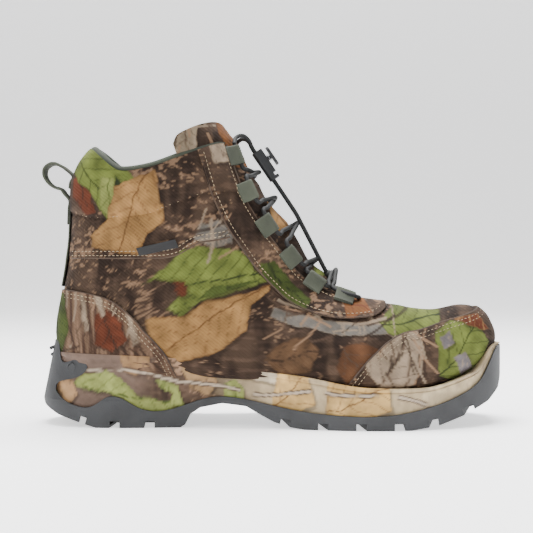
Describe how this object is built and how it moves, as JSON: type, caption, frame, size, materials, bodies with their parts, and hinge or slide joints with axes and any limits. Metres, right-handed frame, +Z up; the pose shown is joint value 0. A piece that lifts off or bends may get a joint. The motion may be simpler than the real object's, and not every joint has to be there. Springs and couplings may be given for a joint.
{
  "type": "insulated hunting boot",
  "caption": "Ankle-high laced insulated boot with lugged rubber outsole, padded collar and tongue, webbing lace loops, elastic lace with cord lock and heel pull loop.",
  "frame": {"origin": "on the ground, at the middle of the heel tread's flat centre pad", "axes": "+X towards the toe, +Z up, +Y towards the medial side of this right boot"},
  "size_m": [0.3068, 0.1102, 0.1976],
  "materials": {
    "outsole_rubber": "matte dark grey moulded rubber",
    "midsole_foam": "leaf-print moulded foam",
    "camo_fabric": "woven fabric with a bark and leaf print",
    "lining_cloth": "grey-green knitted lining",
    "webbing": "woven grey-green webbing",
    "cord": "black braided elastic cord",
    "lock_plastic": "black moulded plastic",
    "spring_steel": "bright spring wire",
    "shank_steel": "spring steel strip",
    "board": "fibre lasting board",
    "stiffener": "thermoplastic stiffener sheet",
    "foam": "open-cell foam",
    "insulation": "synthetic fibre insulation",
    "membrane": "waterproof membrane",
    "label_cloth": "black woven label"
  },
  "bodies": {
    "boot": {"outsole": "outsole_rubber", "midsole": "midsole_foam", "shank": "shank_steel", "lasting_board": "board", "vamp": "camo_fabric", "toe_cap": "camo_fabric", "heel_overlay": "camo_fabric", "back_strip": "webbing", "label": "label_cloth", "collar_binding": "lining_cloth", "toe_puff": "stiffener", "heel_counter": "stiffener", "collar_foam": "foam", "insulation": "insulation", "waterproof_bootie": "membrane", "lining": "lining_cloth", "tongue": "camo_fabric", "lace": "cord", "lace_knot": "cord", "shaft_lateral": "camo_fabric", "shaft_medial": "camo_fabric", "eyestay_lateral": "camo_fabric", "eyestay_medial": "camo_fabric", "gusset_lateral": "membrane", "gusset_medial": "membrane", "lace_tail_lateral": "cord", "lace_tail_medial": "cord", "pull_loop_stitch_upper": "webbing", "pull_loop_stitch_lower": "webbing", "lace_loop_lateral_1": "webbing", "lace_loop_lateral_2": "webbing", "lace_loop_lateral_3": "webbing", "lace_loop_lateral_4": "webbing", "lace_loop_lateral_5": "webbing", "lace_loop_lateral_6": "webbing", "lace_loop_medial_1": "webbing", "lace_loop_medial_2": "webbing", "lace_loop_medial_3": "webbing", "lace_loop_medial_4": "webbing", "lace_loop_medial_5": "webbing", "lace_loop_medial_6": "webbing"},
    "footbed": {"footbed": "foam"},
    "pull_loop": {"pull_loop": "webbing"},
    "cord_lock": {"cord_lock_body": "lock_plastic", "cord_lock_spring": "spring_steel"},
    "lock_button": {"cord_lock_button": "lock_plastic"}
  },
  "joints": [
    {"name": "cord_lock_slide", "type": "slide", "parent": "boot", "child": "cord_lock", "axis": [0.5619, 0, -0.8272], "range_m": [0, 0.019]},
    {"name": "lock_button_press", "type": "slide", "parent": "cord_lock", "child": "lock_button", "axis": [-0.8272, 0, -0.5619], "range_m": [0, 0.0022], "stiffness_N_per_m": 300, "springref_m": -0.001, "deforming": ["cord_lock_spring"]},
    {"name": "pull_loop_swing", "type": "hinge", "parent": "boot", "child": "pull_loop", "pos_m": [-0.0345, 0, 0.1623], "axis": [0, -1, 0], "range_deg": [-15, 30]},
    {"name": "footbed_lift", "type": "hinge", "parent": "boot", "child": "footbed", "pos_m": [0.226, 0, 0.042], "axis": [0, 1, 0], "range_deg": [0, 7]}
  ]
}
